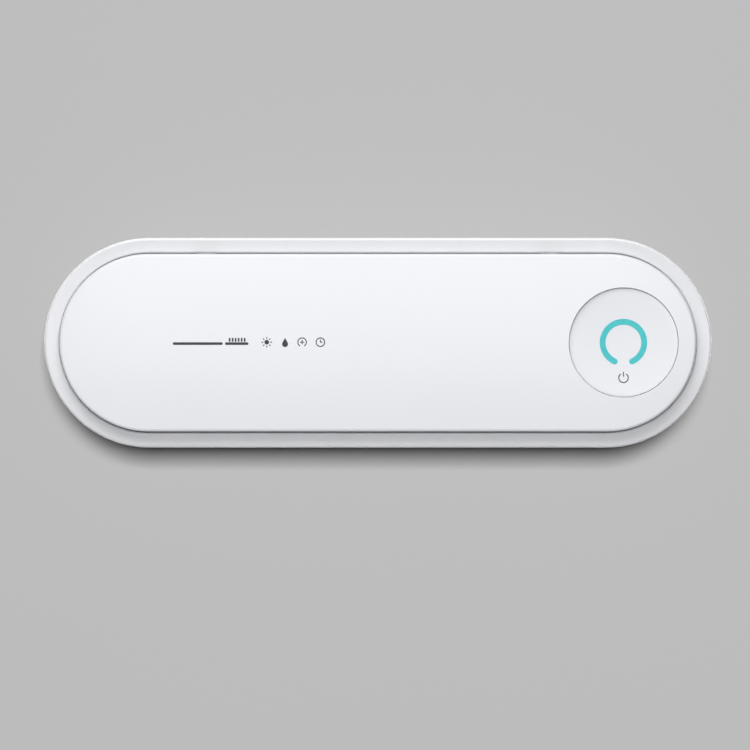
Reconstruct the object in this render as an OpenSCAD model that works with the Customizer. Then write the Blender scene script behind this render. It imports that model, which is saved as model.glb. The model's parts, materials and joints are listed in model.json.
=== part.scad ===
// Wall-hung toothbrush sanitizer, in millimetres.
// A pill-shaped housing hangs on a wall bracket. Its flip-up front cover carries a lit power
// button. Five brush heads enter through shuttered slots in the floor and hang under a lamp.
//
// +Z is up, -Y faces the room, and the wall is the plane y = 0. The origin is on the wall, behind
// the middle of the pill. Every module works in a "front" frame, (across, up, out of the wall),
// and facing() turns that frame into the real one.

/* [Housing] */
// Overall width of the pill
body_w = 213; // [212:0.5:216]
// Overall height of the pill
body_h = 67; // [66.5:0.1:67.5]
// Thickness of the housing walls
wall = 2.2; // [2:0.1:2.4]
// Distance from the wall to the front plane of the rim
rim_out = 36; // [36:0.1:36.4]
// Width of the rim between the pill's edge and its opening
rim_w = 4.8; // [4.6:0.1:4.9]

/* [Front cover] */
// Running gap between the cover and the rim
cover_gap = 0.5; // [0.4:0.05:0.6]
// How far the middle of the cover stands in front of the rim
cover_proud = 6.7; // [6.6:0.1:7]
// Crown radius of the cover's face
crown_radius = 250; // [240:10:300]
// Wall thickness of the cover
skin = 2.2; // [2:0.1:2.2]
// How far the cover swings up, in degrees
cover_swing = 80; // [60:5:80]

/* [Power button] */
// Distance of the button from the middle of the pill
button_x = 78; // [77.8:0.1:78.4]
// Diameter of the dished button
button_d = 34.6; // [34:0.1:34.8]
// Depth of the dish at its middle
dish_depth = 0.8; // [0.4:0.1:1]
// Mean diameter of the light ring
ring_d = 13.2; // [12.8:0.1:13.4]
// Width of the light ring's stroke
ring_stroke = 1.9; // [1.6:0.1:2]
// Half angle of the gap at the bottom of the light ring
ring_gap = 25; // [20:1:30]
// Travel of the button
press = 0.8; // [0.5:0.1:0.8]

/* [Brush slots] */
// Number of brushes
brushes = 5; // [5]
// Distance between neighbouring brushes
slot_pitch = 25; // [25:0.1:25.4]
// Radius of the hole that the brush head enters through
entry_r = 7; // [6.5:0.1:7.2]
// Half width of the slot that holds the neck
neck_r = 3.6; // [3:0.1:3.8]

/* [Wall bracket] */
// Thickness of the adhesive pads
pad_t = 1; // [0.8:0.1:1]
// Thickness of the bracket plate
bracket_t = 2.5; // [2.3:0.1:2.5]
// Distance between the two screw holes
screw_pitch = 42; // [41:0.5:43]
// Radius of the screw holes
screw_hole_r = 2.2; // [2:0.1:2.4]
// How far the housing lifts to come off its studs
lift = 7; // [7:0.1:7.2]

/* [Hidden] */
$fn = 48;
arc_steps = 8;

// Pill: two round ends on a straight middle
body_r = body_h / 2;
half_straight = body_w / 2 - body_r;
inner_r = body_r - wall;
opening_r = body_r - rim_w;

// Layers of the housing, out from the wall
back_out = 1.2;
back_edge_r = 4;
seam_out = 31.5;
lip_t = 2.4;
lip_back = rim_out - lip_t;
tongue_back = 29.7;
tongue_t = 1.35;
fit = 0.05;

// Bracket, its pocket in the housing's back, and the keyhole studs
bracket_w = 120;
bracket_h = 36;
bracket_front = pad_t + bracket_t;
pocket_w = 122;
pocket_low = -bracket_h / 2 - lift - 1;
pocket_high = bracket_h / 2 + 0.5;
pocket_out = bracket_front + 0.3;
pocket_floor = pocket_out + wall;
stud_x = 45;
stud_z = 6;
stud_r = 2.3;
stud_head_r = 4.3;
stud_head_back = pocket_floor + 0.35;
stud_head_front = stud_head_back + 1.5;

// Cover shell and its hinge axis
cover_r = opening_r - cover_gap;
cover_front = rim_out + cover_proud;
cover_back = 34.4;
cover_edge_r = 1.2;
cover_inner_r = cover_r - 2;
crown_out = cover_front - crown_radius;
edge_out = crown_out + sqrt(pow(crown_radius - cover_edge_r, 2) - pow(cover_r - cover_edge_r, 2));
hinge_z = cover_r - 2.8;
hinge_out = 38.1;
hinge_x = 55;
arm_w = 6;
arm_r = 1.75;
arm_half_t = 1.3;
pin_r = 0.8;
ear_w = 3.8;
ear_r = 2.6;
notch_w = arm_w + 0.6;
notch_out = 39.5;

// Inner panel of the cover, its screws and magnets
panel_t = 1.4;
panel_front = cover_back + panel_t;
panel_screws = [for (x = [-80, -20, 40], z = [-15, 15]) [x, z]];
latch_x = [-47.5, 27.5];
latch_z = -22.6;
magnet_r = 2.8;
magnet_t = 2;
sensor_magnet = [62, -20];

// Button, retainer and light ring
button_r = button_d / 2;
button_edge_out = 41.2;
dish_out = button_edge_out - dish_depth;
dish_r = button_r - 0.7;
dish_radius = (pow(dish_r, 2) + pow(dish_depth, 2)) / (2 * dish_depth);
flange_r = button_r + 1;
flange_front = 38.85;
flange_back = 37.65;
button_back = 38.7;
well_bore_r = flange_r + 0.2;
well_r = well_bore_r + 1.2;
stem_r = 2.5;
stem_back = 33.75;
retainer_inner_r = 9.5;
ring_r = ring_d / 2;
ring_front = dish_out + 0.15;

// Electronics bay and main board
bay_x = 57;
divider_t = 1.6;
board_r = 19.5;
board_left = 60;
board_out = 19;
board_t = 1.6;
board_front = board_out + board_t;
board_posts = [[66.5, 11.5], [66.5, -11.5], [94.5, 0]];
plate_back = 28;
plate_t = 1.6;
plate_front = plate_back + plate_t;
plate_r = 29.6;
plate_posts = [[62.5, 24.5], [61.8, -24.5], [91.5, 19]];
window_r = 7.7;
boot_r = 3.2;
plunger_r = 1.6;
socket_x = 71;
socket_out = board_front + 1.6;
socket_low = -30.6;

// Posts that the front frame is screwed to: [across, up, direction of their rib]
post_ring = 26.3;
frame_posts = [
    [-30, post_ring, 90],
    [35, post_ring, 90],
    [-half_straight - post_ring, 0, 180],
    [half_straight + post_ring * cos(50), -post_ring * sin(50), -50]
];
post_r = 3;
post_front = 29.6;
tab_front = 33;

// Brush rack, slots and shutters
first_slot = -60;
slot_x = [for (i = [0:brushes - 1]) first_slot + i * slot_pitch];
entry_out = 15;
neck_out = 24.5;
floor_z = -inner_r;
rack_t = 2;
rack_top = floor_z + rack_t;
rack_left = -73;
rack_right = 55;
rack_back = 6.2;
rack_front = 29;
rod_r = 0.75;
rod_out = 8.6;
rod_z = rack_top + 1.9;
flap_w = 17;
flap_len = 14;
flap_t = 1.4;
knuckle_r = 1.6;
support_w = 2.4;
support_x = [for (i = [-1:brushes - 1]) i < 0 ? -71.8 : i == brushes - 1 ? 52.5
    : first_slot + (i + 0.5) * slot_pitch];
rack_screws = [[-70, 25.2], [52, 24]];

// Reflector, lamp and its leads
sheet_t = 0.5;
reflector_back = 8.8;
reflector_left = -71;
reflector_right = 54;
reflector_screws = [for (x = [-68, 51.5], z = [-17, 16.5]) [x, z]];
lamp_z = 13;
lamp_out = 14.5;
lamp_r = 2.5;
lamp_left = -64;
lamp_right = 49;
boot_len = 9;
lead_r = 0.8;
lead_hole_r = 1.3;
far_lead_z = 21;
far_lead_out = 6.9;
connector = [74, 12.5];
far_route = [
    [lamp_left - 2, lamp_z, lamp_out], [-74, lamp_z, lamp_out], [-74, far_lead_z, lamp_out],
    [-74, far_lead_z, far_lead_out], [75.5, far_lead_z, far_lead_out],
    [75.5, far_lead_z, 23.5], [75.5, 15, 23.5]
];
near_route = [
    [lamp_right + 2, lamp_z, lamp_out], [60.5, lamp_z, lamp_out], [60.5, lamp_z, 23.5],
    [60.5, 20, 23.5], [72.5, 20, 23.5], [72.5, 15, 23.5]
];

// ---- Shared shapes, all in the front frame ----

// Turns (across, up, out of the wall) into the real x, z, -y
module facing() rotate([90, 0, 0]) children();

// Points along an arc from angle a to angle b
function arc(c, r, a, b, n = arc_steps) =
    [for (i = [0:n]) c + r * [cos(a + (b - a) * i / n), sin(a + (b - a) * i / n)]];

function rounded_rect(w, h, r) = concat(
    arc([w / 2 - r, h / 2 - r], r, 0, 90), arc([r - w / 2, h / 2 - r], r, 90, 180),
    arc([r - w / 2, r - h / 2], r, 180, 270), arc([w / 2 - r, r - h / 2], r, 270, 360));

// Round hole at a running into a slot that ends round at b, both on the vertical axis
function keyhole(hole_y, hole_r, slot_y, slot_r) =
    let (side = slot_y > hole_y ? 1 : -1, lean = asin(slot_r / hole_r))
    concat(arc([0, hole_y], hole_r, side * (90 - lean), side * (lean - 270), 3 * arc_steps),
           arc([0, slot_y], slot_r, 180, 180 - side * 180, 2 * arc_steps));

// Sweeps a 2D profile of (distance from the spine, distance from the wall) round the pill
module pill_sweep() {
    for (side = [-1, 1]) translate([side * half_straight, 0, 0])
        rotate(-side * 90) rotate_extrude(angle = 180) children();
    for (low = [0, 1]) mirror([0, low, 0]) rotate([90, 0, 90])
        linear_extrude(2 * half_straight, center = true) children();
}

module pill_plate(r, from, to) {
    pill_sweep() translate([0, from]) square([r, to - from]);
}

module disc(at, r, from, to) {
    translate([at[0], at[1], from]) cylinder(r = r, h = to - from);
}

module tube(at, r, bore, from, to) {
    translate([at[0], at[1], from]) difference() {
        cylinder(r = r, h = to - from);
        translate([0, 0, -1]) cylinder(r = bore, h = to - from + 2);
    }
}

// Box given by its lowest and highest corners
module block(low, high) {
    translate(low) cube(high - low);
}

// Cylinder along the across direction
module bar(from_x, to_x, z, out, r) {
    translate([from_x, z, out]) rotate([0, 90, 0]) cylinder(r = r, h = to_x - from_x);
}

// Plate lying level: a 2D outline in (across, out), extruded up from low to high
module level(low, high) {
    translate([0, high, 0]) rotate([90, 0, 0]) linear_extrude(high - low) children();
}

// Pan-head screw pointing at the wall, its head resting at seat
module screw(at, seat, shank_r, shank_len, head_r, head_t) {
    disc(at, shank_r, seat - shank_len, seat + head_t / 2);
    difference() {
        disc(at, head_r, seat, seat + head_t);
        translate([at[0], at[1], seat + head_t]) for (turn = [0, 90]) rotate(turn)
            cube([head_r * 1.1, 0.4, head_t], center = true);
    }
}

module lead(route) {
    for (i = [1:len(route) - 1]) {
        step = route[i] - route[i - 1];
        translate(route[i - 1])
            rotate([0, acos(step[2] / norm(step)), atan2(step[1], step[0])])
                cylinder(r = lead_r, h = norm(step), $fn = 24);
        if (i < len(route) - 1) translate(route[i]) sphere(r = lead_r, $fn = 24);
    }
}

// ---- Wall bracket ----

module wall_bracket() color("lightgray") facing() {
    difference() {
        translate([0, 0, pad_t]) linear_extrude(bracket_t) polygon(rounded_rect(bracket_w, bracket_h, 5));
        for (side = [-1, 1]) translate([side * screw_pitch / 2, 0, 0]) {
            cylinder(r = screw_hole_r, h = 2 * bracket_front);
            translate([0, 0, bracket_front - 1])
                cylinder(r1 = screw_hole_r, r2 = screw_hole_r + 2.2, h = 2.2);
        }
    }
    for (side = [-1, 1]) {
        disc([side * stud_x, stud_z], stud_r, bracket_front - 0.5, stud_head_back + 0.5);
        disc([side * stud_x, stud_z], stud_head_r, stud_head_back, stud_head_front);
    }
}

module adhesive_pads() color("gainsboro") facing() {
    for (side = [-1, 0, 1]) translate([side * 43, 0, 0])
        linear_extrude(pad_t) polygon(rounded_rect(28, 30, 3));
}

// ---- Housing ----

module tub_profile() polygon(concat(
    [[0, back_out]],
    arc([body_r - back_edge_r, back_out + back_edge_r], back_edge_r, -90, 0),
    [[body_r, seam_out - 0.3], [body_r - 0.3, seam_out], [inner_r, seam_out]],
    arc([inner_r - back_edge_r + wall, back_out + back_edge_r], back_edge_r - wall, 0, -90),
    [[0, back_out + wall]]));

// Post from the back wall, joined to the housing's side by a rib
module ribbed_post(at, r, rib, front) {
    disc(at, r, back_out + 1, front);
    translate([at[0], at[1], back_out + 1]) rotate(rib)
        translate([0, -1, 0]) cube([inner_r - post_ring + 0.6, 2, front - back_out - 1]);
}

module rear_housing() color("white") facing() difference() {
    union() {
        pill_sweep() tub_profile();
        block([-pocket_w / 2 - 2, pocket_low - 1.5, back_out + 0.8],
              [pocket_w / 2 + 2, pocket_high + 1.5, pocket_floor]);
        block([bay_x, -inner_r - 0.6, back_out + 1], [bay_x + divider_t, inner_r + 0.6, plate_back]);
        for (p = frame_posts) ribbed_post(p, post_r, p[2], post_front);
        for (p = board_posts) disc(p, 2.8, back_out + 1, board_out);
        for (p = plate_posts) disc(p, 2.6, back_out + 1, plate_back);
        for (p = reflector_screws) disc(p, 2.4, back_out + 1, reflector_back);
        block([socket_x - 7.4, floor_z - 0.4, socket_out - 4.6], [socket_x + 7.4, -30.2, socket_out + 4.6]);
    }
    translate([-pocket_w / 2, pocket_low, 0]) cube([pocket_w, pocket_high - pocket_low, pocket_out]);
    for (side = [-1, 1]) translate([side * stud_x, 0, pocket_out - 1]) linear_extrude(wall + 2)
        polygon(keyhole(stud_z - lift, stud_head_r + 0.3, stud_z - 0.1, stud_r + 0.15));
    for (x = slot_x) translate([x, 0, 0]) level(-body_r - 1, floor_z + 1)
        polygon(keyhole(entry_out, entry_r + 0.6, neck_out, neck_r + 0.6));
    block([socket_x - 6, -body_r - 1, socket_out - 3.2], [socket_x + 6, -30, socket_out + 3.2]);
    for (p = frame_posts) disc(p, 0.9, post_front - 12, post_front + 1);
    for (p = board_posts) disc(p, 0.8, board_out - 7, board_out + 1);
    for (p = plate_posts) disc(p, 0.8, plate_back - 7, plate_back + 1);
    for (p = reflector_screws) disc(p, 0.8, 4.4, reflector_back + 1);
    for (p = rack_screws) translate([p[0], floor_z - 1.8, p[1]])
        rotate([-90, 0, 0]) cylinder(r = 0.9, h = 3);
    bar(bay_x - 1, bay_x + divider_t + 1, lamp_z, lamp_out, lead_hole_r);
    bar(bay_x - 1, bay_x + divider_t + 1, far_lead_z, far_lead_out, lead_hole_r);
}

module frame_profile() polygon(concat(
    [[opening_r, lip_back]],
    arc([opening_r + 0.6, rim_out - 0.6], 0.6, 180, 90, 4),
    arc([body_r - 0.9, rim_out - 0.9], 0.9, 90, 0),
    [[body_r, seam_out + 0.3], [body_r - 0.3, seam_out], [inner_r - fit, seam_out],
     [inner_r - fit, tongue_back], [inner_r - fit - tongue_t, tongue_back],
     [inner_r - fit - tongue_t, lip_back]]));

// Arm from the frame's lip, down and out through the opening to the hinge axis
module hinge_arm() {
    bar(-arm_w / 2, arm_w / 2, hinge_z, hinge_out, arm_r);
    block([-arm_w / 2, hinge_z - arm_half_t, lip_back - 2.6], [arm_w / 2, hinge_z + arm_half_t, hinge_out]);
    block([-arm_w / 2, hinge_z - arm_half_t, lip_back - 2.6], [arm_w / 2, inner_r - 0.3, lip_back]);
}

module front_frame() color("white") facing() difference() {
    union() {
        pill_sweep() frame_profile();
        for (p = frame_posts) translate([p[0], p[1], post_front]) rotate(p[2]) {
            cylinder(r = 3.6, h = tab_front - post_front);
            translate([0, -3.6, 0]) cube([inner_r - post_ring - 0.4, 7.2, tab_front - post_front]);
        }
        for (x = latch_x)
            block([x - 4.5, -inner_r + 0.3, lip_back - 3.2], [x + 4.5, latch_z + 4, lip_back + 0.3]);
        for (side = [-1, 1]) translate([side * hinge_x, 0, 0]) hinge_arm();
    }
    for (p = frame_posts) {
        disc(p, 1.15, post_front - 1, tab_front + 1);
        disc(p, 2.1, tab_front - 1.7, tab_front + 1);
    }
    for (x = latch_x) disc([x, latch_z], magnet_r, lip_back - 1.2, lip_back + 1);
    for (side = [-1, 1])
        bar(side * hinge_x - arm_w, side * hinge_x + arm_w, hinge_z, hinge_out, pin_r);
}

module frame_screws() color("silver") facing() {
    for (p = frame_posts) screw(p, tab_front - 1.7, 0.9, 10, 1.9, 1.3);
}

module frame_magnets() color("dimgray") facing() {
    for (x = latch_x) disc([x, latch_z], magnet_r, lip_back - 1.2, lip_back + 0.3);
}

module hinge_pins() color("silver") facing() {
    for (side = [-1, 1])
        bar(side * hinge_x - 6.6, side * hinge_x + 6.6, hinge_z, hinge_out, pin_r);
}

// ---- Lamp side ----

module reflector() color("lightsteelblue") facing() difference() {
    translate([reflector_left, 0, 0]) rotate([90, 0, 90])
        linear_extrude(reflector_right - reflector_left) polygon([
            [-22, reflector_back], [19, reflector_back], [23.1, 19], [22.7, 19.3],
            [19 - sheet_t / 2, reflector_back + sheet_t], [-22, reflector_back + sheet_t]]);
    for (p = reflector_screws) disc(p, 1.1, reflector_back - 1, reflector_back + 2);
}

module reflector_screws() color("silver") facing() {
    for (p = reflector_screws) screw(p, reflector_back + sheet_t, 0.8, 4.5, 1.8, 1.1);
}

module uv_lamp() color("azure") facing() {
    bar(lamp_left, lamp_right, lamp_z, lamp_out, lamp_r);
}

module lamp_boots() color("whitesmoke") facing() {
    for (end = [[lamp_left - 2, lamp_left + boot_len - 2], [lamp_right - boot_len + 2, lamp_right + 2]])
        difference() {
            bar(end[0], end[1], lamp_z, lamp_out, 4);
            bar(lamp_left, lamp_right, lamp_z, lamp_out, lamp_r);
        }
}

module lamp_clips() color("silver") facing() {
    for (x = [-46, 31]) {
        difference() {
            bar(x - 2, x + 2, lamp_z, lamp_out, lamp_r + 0.6);
            bar(x - 3, x + 3, lamp_z, lamp_out, lamp_r);
            block([x - 3, lamp_z - 1.4, lamp_out], [x + 3, lamp_z + 1.4, lamp_out + 5]);
        }
        block([x - 2, lamp_z - 0.3, reflector_back + sheet_t], [x + 2, lamp_z + 0.3, lamp_out - lamp_r - 0.1]);
        block([x - 2, lamp_z - 4, reflector_back + sheet_t], [x + 2, lamp_z + 4, reflector_back + 2 * sheet_t]);
    }
}

module lamp_lead_far() color("white") facing() lead(far_route);

module lamp_lead_near() color("white") facing() lead(near_route);

// ---- Brush rack and shutters ----

module brush_rack() color("ghostwhite") facing() difference() {
    union() {
        block([rack_left, floor_z, rack_back], [rack_right, rack_top, rack_front]);
        block([rack_left, floor_z, rack_front - 0.8], [rack_right, rack_top + 1.4, rack_front]);
        for (x = support_x)
            block([x - support_w / 2, rack_top - 0.5, rod_out - 2], [x + support_w / 2, rod_z + 1.9, rod_out + 2]);
    }
    for (x = slot_x) translate([x, 0, 0]) level(floor_z - 1, rack_top + 1)
        polygon(keyhole(entry_out, entry_r, neck_out, neck_r));
    bar(rack_left - 1, rack_right + 1, rod_z, rod_out, rod_r);
    for (p = rack_screws) translate([p[0], floor_z - 1, p[1]])
        rotate([-90, 0, 0]) cylinder(r = 1.1, h = rack_t + 2);
}

module rack_screws() color("silver") facing() {
    for (p = rack_screws) translate([p[0], 0, p[1]]) rotate([-90, 0, 0])
        screw([0, 0], rack_top, 0.9, 3.6, 1.9, 1.2);
}

module flap_rod() color("silver") facing() {
    bar(rack_left, rack_right - 1, rod_z, rod_out, rod_r);
}

module flap_springs() color("gray") facing() {
    for (x = slot_x) difference() {
        bar(x + 8.8, x + 11, rod_z, rod_out, 1.4);
        bar(x + 8, x + 12, rod_z, rod_out, rod_r + 0.1);
    }
}

module flap(x) color("lightgray") facing() difference() {
    union() {
        bar(x - flap_w / 2, x + flap_w / 2, rod_z, rod_out, knuckle_r);
        block([x - flap_w / 2, rod_z - knuckle_r, rod_out],
              [x + flap_w / 2, rod_z - knuckle_r + flap_t, rod_out + flap_len]);
    }
    bar(x - flap_w, x + flap_w, rod_z, rod_out, rod_r + fit);
}

// ---- Electronics ----

module main_board() color("darkgreen") facing() difference() {
    union() {
        intersection() {
            disc([button_x, 0], board_r, board_out, board_front);
            block([board_left, -board_r - 1, board_out], [button_x + board_r + 1, board_r + 1, board_front]);
        }
        block([socket_x - 5, -29, board_out], [socket_x + 5, -12, board_front]);
    }
    for (p = board_posts) disc(p, 1.1, board_out - 1, board_front + 1);
}

module board_screws() color("silver") facing() {
    for (p = board_posts) screw(p, board_front, 0.8, 7, 1.7, 1.1);
}

module tact_switch() color("dimgray") facing() {
    difference() {
        block([button_x - 3, -3, board_front], [button_x + 3, 3, board_front + 2.8]);
        disc([button_x, 0], plunger_r + 0.15, board_front + 1.6, board_front + 3);
    }
    for (side = [-1, 1], z = [-2.2, 1.4])
        block([button_x + side * 3 - 0.6, z, board_front], [button_x + side * 3 + 0.6, z + 0.8, board_front + 0.5]);
}

module status_leds() color("palegreen") facing() {
    for (turn = [0:60:300]) translate([button_x, 0, board_front]) rotate(turn + 30)
        translate([ring_r - 0.8, -0.5, 0]) cube([1.6, 1, 0.7]);
}

module controller_chip() color("black") facing() {
    block([86, -12, board_front], [91, -6, board_front + 1.5]);
    for (z = [-11.4:1.27:-6.6], x = [85.2, 91])
        block([x, z, board_front], [x + 0.8, z + 0.4, board_front + 0.8]);
}

module filter_capacitors() color("darkslategray") facing() {
    for (at = [[87, 12], [81, -15]]) disc(at, 2.5, board_front, board_front + 6);
}

module lamp_transformer() color("gold") facing() {
    block([87, -3.5, board_front], [92, 7.5, board_front + 5.5]);
    block([86.4, -2.5, board_front], [92.6, 6.5, board_front + 3]);
}

module lamp_connector() color("ivory") facing() {
    block([connector[0] - 4, connector[1] - 2.5, board_front],
          [connector[0] + 4, connector[1] + 2.5, board_front + 4.6]);
}

module hall_sensor() color("black") facing() {
    block([62.6, -7, board_front], [65.6, -4, board_front + 1.2]);
}

module usb_socket() color("silver") facing() difference() {
    block([socket_x - 4.5, socket_low, board_front], [socket_x + 4.5, socket_low + 7.5, board_front + 3.2]);
    difference() {
        block([socket_x - 4.15, socket_low - 1, board_front + 0.35],
              [socket_x + 4.15, socket_low + 6.3, board_front + 2.85]);
        block([socket_x - 3.3, socket_low + 1.2, board_front + 1.25],
              [socket_x + 3.3, socket_low + 7, board_front + 1.95]);
    }
}

module electronics_cover() color("ghostwhite") facing() difference() {
    intersection() {
        pill_plate(plate_r, plate_back, plate_front);
        block([bay_x, -body_r, plate_back], [body_w / 2, body_r, plate_front]);
    }
    disc([button_x, 0], window_r, plate_back - 1, plate_front + 1);
    disc(frame_posts[3], post_r + 0.9, plate_back - 1, plate_front + 1);
    for (p = plate_posts) disc(p, 1.1, plate_back - 1, plate_front + 1);
}

module electronics_screws() color("silver") facing() {
    for (p = plate_posts) screw(p, plate_front, 0.8, 7, 1.8, 1.1);
}

module led_window() color("lightcyan") facing()
    tube([button_x, 0], window_r, boot_r, plate_back, plate_front);

module plunger_boot() color("gainsboro") facing() {
    tube([button_x, 0], boot_r, plunger_r + fit, plate_back, plate_front + 0.6);
}

module switch_plunger() color("whitesmoke") facing() {
    disc([button_x, 0], plunger_r, board_front + 2.5, stem_back - 0.05);
    disc([button_x, 0], plunger_r + 0.8, board_front + 4, board_front + 4.8);
}

// ---- Front cover ----

function crown_turn() = atan2(edge_out - crown_out, cover_r - cover_edge_r);

module cover_profile() polygon(concat(
    [[0, cover_front - skin]],
    arc([0, crown_out], crown_radius, 90, crown_turn()),
    arc([cover_r - cover_edge_r, edge_out], cover_edge_r, crown_turn(), 0),
    [[cover_r, cover_back], [cover_inner_r, cover_back]],
    arc([0, crown_out], crown_radius - skin, acos(cover_inner_r / (crown_radius - skin)), 90)));

module hinge_ears(x) {
    for (side = [-1, 1]) {
        near = x + side * (arm_w / 2 + 0.2 + ear_w / 2);
        bar(near - ear_w / 2, near + ear_w / 2, hinge_z, hinge_out, ear_r);
        block([near - ear_w / 2, hinge_z - 1.5, hinge_out], [near + ear_w / 2, hinge_z + 2, hinge_out + 2.2]);
    }
}

module front_cover() color("white") facing() difference() {
    union() {
        pill_sweep() cover_profile();
        disc([button_x, 0], well_r, cover_back, button_edge_out - 0.2);
        for (p = panel_screws) disc(p, 2.4, panel_front, cover_front - skin - 0.2);
        for (x = [-hinge_x, hinge_x]) hinge_ears(x);
    }
    disc([button_x, 0], button_r + 0.12, cover_back - 1, cover_front + 1);
    disc([button_x, 0], well_bore_r, cover_back - 1, flange_front + fit);
    for (p = panel_screws) disc(p, 0.8, panel_front - 1, cover_front - skin - 1);
    for (x = [-hinge_x, hinge_x]) {
        block([x - notch_w / 2, hinge_z - 3, cover_back - 1], [x + notch_w / 2, cover_r + 1, hinge_out]);
        block([x - notch_w / 2, hinge_z, cover_back], [x + notch_w / 2, cover_r + 1, notch_out]);
        bar(x - notch_w / 2, x + notch_w / 2, hinge_z, hinge_out, arm_r + 0.3);
        bar(x - 8, x + 8, hinge_z, hinge_out, pin_r + fit);
    }
}

module inner_panel() color("ghostwhite") facing() difference() {
    pill_plate(cover_inner_r - 0.1, cover_back, panel_front);
    disc([button_x, 0], well_r + 0.1, cover_back - 1, panel_front + 1);
    for (p = panel_screws) disc(p, 1.1, cover_back - 1, panel_front + 1);
    for (x = latch_x) disc([x, latch_z], magnet_r, cover_back - 1, panel_front + 1);
    disc(sensor_magnet, 2, cover_back - 1, panel_front + 1);
    for (x = [-hinge_x, hinge_x])
        block([x - 7.4, hinge_z - 3.2, cover_back - 1], [x + 7.4, cover_r, panel_front + 1]);
}

module panel_screws() color("silver") facing() {
    for (p = panel_screws) translate([p[0], p[1], 0]) mirror([0, 0, 1])
        screw([0, 0], -cover_back, 0.8, 5, 1.8, 1);
}

module cover_magnets() color("dimgray") facing() {
    for (x = latch_x) disc([x, latch_z], magnet_r, cover_back, cover_back + magnet_t);
}

module sensor_magnet() color("dimgray") facing() {
    disc(sensor_magnet, 2, cover_back, cover_back + magnet_t);
}

module button_retainer() color("whitesmoke") facing() {
    tube([button_x, 0], well_bore_r, retainer_inner_r, cover_back, panel_front);
}

module button_spring() color("gray") facing() {
    tube([button_x, 0], 14.8, 13.6, panel_front, button_back - press - 0.1);
}

// ---- Power button ----

module light_ring(from, to) translate([button_x, 0, from]) {
    rotate(ring_gap - 90) rotate_extrude(angle = 360 - 2 * ring_gap)
        translate([ring_r - ring_stroke / 2, 0]) square([ring_stroke, to - from]);
    for (side = [-1, 1]) rotate(side * ring_gap - 90)
        translate([ring_r, 0, 0]) cylinder(r = ring_stroke / 2, h = to - from);
}

module button_profile() polygon(concat(
    [[0, button_back], [button_r - 1.8, button_back], [button_r - 1.8, flange_back],
     [flange_r, flange_back], [flange_r, flange_front], [button_r, flange_front]],
    arc([button_r - 0.2, button_edge_out - 0.2], 0.2, 0, 90, 4),
    arc([0, dish_out + dish_radius], dish_radius, asin(dish_r / dish_radius) - 90, -90)));

module power_button() color("white") facing() difference() {
    union() {
        translate([button_x, 0, 0]) rotate_extrude() button_profile();
        disc([button_x, 0], stem_r, stem_back, button_back + 0.5);
    }
    light_ring(button_back - 1, cover_front);
}

module ring_lens() color("turquoise") facing() light_ring(button_back, ring_front);

wall_bracket();
adhesive_pads();
rear_housing();
front_frame();
frame_screws();
reflector();
reflector_screws();
uv_lamp();
lamp_boots();
lamp_clips();
lamp_lead_far();
lamp_lead_near();
brush_rack();
rack_screws();
flap_rod();
flap_springs();
main_board();
board_screws();
tact_switch();
status_leds();
controller_chip();
filter_capacitors();
lamp_transformer();
lamp_connector();
hall_sensor();
usb_socket();
electronics_cover();
electronics_screws();
led_window();
plunger_boot();
frame_magnets();
hinge_pins();
front_cover();
inner_panel();
panel_screws();
cover_magnets();
sensor_magnet();
button_retainer();
button_spring();
power_button();
ring_lens();
switch_plunger();
for (i = [1:brushes]) flap(slot_x[i - 1]);
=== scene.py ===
"""Wall-hung toothbrush sanitizer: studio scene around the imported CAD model."""
import json
import math

import bmesh
import bpy
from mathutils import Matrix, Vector


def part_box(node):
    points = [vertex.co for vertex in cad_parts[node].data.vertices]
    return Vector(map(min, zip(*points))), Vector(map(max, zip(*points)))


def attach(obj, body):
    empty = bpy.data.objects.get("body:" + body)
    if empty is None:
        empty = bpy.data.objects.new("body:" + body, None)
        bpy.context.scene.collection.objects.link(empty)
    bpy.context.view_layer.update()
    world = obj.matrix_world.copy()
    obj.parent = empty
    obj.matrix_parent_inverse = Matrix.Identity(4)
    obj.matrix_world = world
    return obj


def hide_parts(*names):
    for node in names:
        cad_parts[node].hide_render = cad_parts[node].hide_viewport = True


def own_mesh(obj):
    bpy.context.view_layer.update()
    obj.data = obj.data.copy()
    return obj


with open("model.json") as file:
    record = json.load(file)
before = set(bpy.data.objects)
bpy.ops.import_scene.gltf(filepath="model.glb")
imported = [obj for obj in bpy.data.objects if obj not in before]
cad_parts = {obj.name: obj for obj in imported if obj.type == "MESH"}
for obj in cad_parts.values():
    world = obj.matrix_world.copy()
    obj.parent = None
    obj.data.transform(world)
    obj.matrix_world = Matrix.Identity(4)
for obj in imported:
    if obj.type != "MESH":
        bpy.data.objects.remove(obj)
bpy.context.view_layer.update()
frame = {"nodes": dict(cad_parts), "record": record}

MM = 0.001
TAU = 2 * math.pi

# ---------------------------------------------------------------- sizes, from the frame

tub_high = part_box("rear_housing")[1]
frame_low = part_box("front_frame")[0]
cover_low, cover_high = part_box("front_cover")
button_low, button_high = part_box("power_button")
lamp_low, lamp_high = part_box("uv_lamp")
rod_low, rod_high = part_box("flap_rod")

BODY_R = tub_high.z
HALF_STRAIGHT = tub_high.x - BODY_R
BACK_OUT = -tub_high.y
COVER_R = cover_high.z
COVER_FRONT = -cover_low.y
RIM_FRONT = -frame_low.y
BUTTON_X = (button_low.x + button_high.x) / 2
BUTTON_FACE = -button_low.y
BUTTON_TRAVEL = next(j["range_m"][1] for j in frame["record"]["behaviour"]["joints"]
                     if j["name"] == "button_press")

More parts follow.
